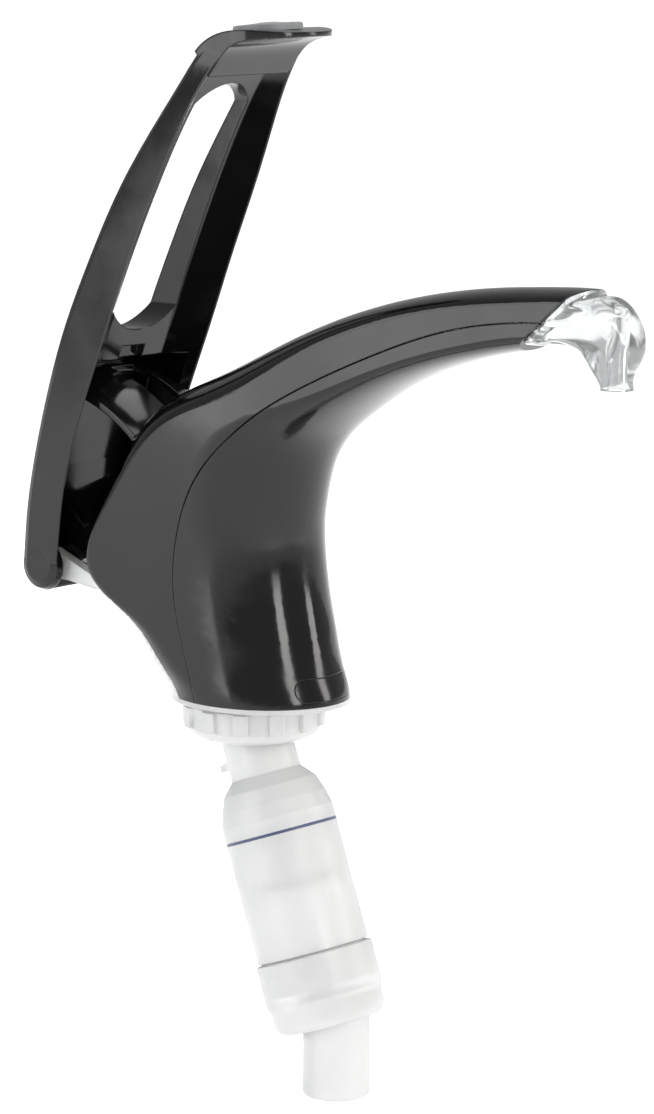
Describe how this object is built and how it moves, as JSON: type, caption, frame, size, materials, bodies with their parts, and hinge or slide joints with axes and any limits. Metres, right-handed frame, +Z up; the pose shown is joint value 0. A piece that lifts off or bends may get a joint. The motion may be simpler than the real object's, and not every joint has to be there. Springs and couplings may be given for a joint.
{
  "type": "condiment pump dispenser",
  "caption": "Lever-worked condiment pump with a swan-neck spout, a clear nozzle, a lock nut for the lid and a leaning piston pump below.",
  "frame": {"origin": "middle of the underside of the base flange, which rests on the lid of the pan or jar", "axes": "+Z up out of the lid, +X the way the spout points, +Y to the left of someone facing along the spout"},
  "size_m": [0.2925, 0.0668, 0.4333],
  "materials": {
    "black_shell": "polished moulding",
    "black_badge": "satin moulding",
    "grey_rubber": "matt, slightly domed",
    "natural_plastic": "frosted, lets light through",
    "white_plastic": "satin",
    "clear_plastic": "water clear",
    "blue_grey_rubber": "matt",
    "black_rubber": "matt",
    "spring_steel": "drawn, bright",
    "ball_steel": "polished"
  },
  "bodies": {
    "base": {"inner_frame": "natural_plastic", "rear_shell": "black_shell", "front_shell": "black_shell", "nameplate": "black_badge", "shell_screws": "spring_steel", "pump_head": "natural_plastic", "barrel": "natural_plastic", "barrel_seal": "blue_grey_rubber", "bottom_cap": "natural_plastic", "inlet_cage": "white_plastic", "rod_guide": "white_plastic", "discharge_tube": "white_plastic", "nozzle": "clear_plastic", "nozzle_oring": "black_rubber", "return_spring": "spring_steel"},
    "lever": {"lever_handle": "black_shell", "thumb_pad": "grey_rubber", "pivot_pin": "spring_steel", "drive_pins": "spring_steel"},
    "plunger": {"plunger_rod": "white_plastic", "crosshead": "white_plastic", "rod_clip": "spring_steel", "rod_oring": "black_rubber", "piston": "white_plastic", "piston_seal": "blue_grey_rubber", "ball_stop_pin": "spring_steel"},
    "inlet_valve": {"inlet_ball": "ball_steel"},
    "outlet_valve": {"outlet_ball": "ball_steel"},
    "nut": {"lock_nut": "natural_plastic"}
  },
  "joints": [
    {"name": "lever_hinge", "type": "hinge", "parent": "base", "child": "lever", "pos_m": [-0.0906, 0, 0.0487], "axis": [0, 1, 0], "range_deg": [0, 22], "stiffness_Nm_per_rad": 2.5, "springref_deg": -25.78},
    {"name": "plunger_slide", "type": "slide", "parent": "base", "child": "plunger", "axis": [0.3355, 0, -0.9421], "range_m": [0, 0.02495], "deforming": ["return_spring"]},
    {"name": "inlet_ball_lift", "type": "slide", "parent": "base", "child": "inlet_valve", "axis": [-0.3355, 0, 0.9421], "range_m": [0, 0.002]},
    {"name": "outlet_ball_lift", "type": "slide", "parent": "plunger", "child": "outlet_valve", "axis": [-0.3355, 0, 0.9421], "range_m": [0, 0.0024]},
    {"name": "nut_turn", "type": "hinge", "parent": "base", "child": "nut", "pos_m": [0, 0, -0.008], "axis": [0, 0, 1], "continuous": true}
  ],
  "couplings": [
    {"joint": "plunger_slide", "follows": "lever_hinge", "m_per_rad": 0.064967}
  ]
}
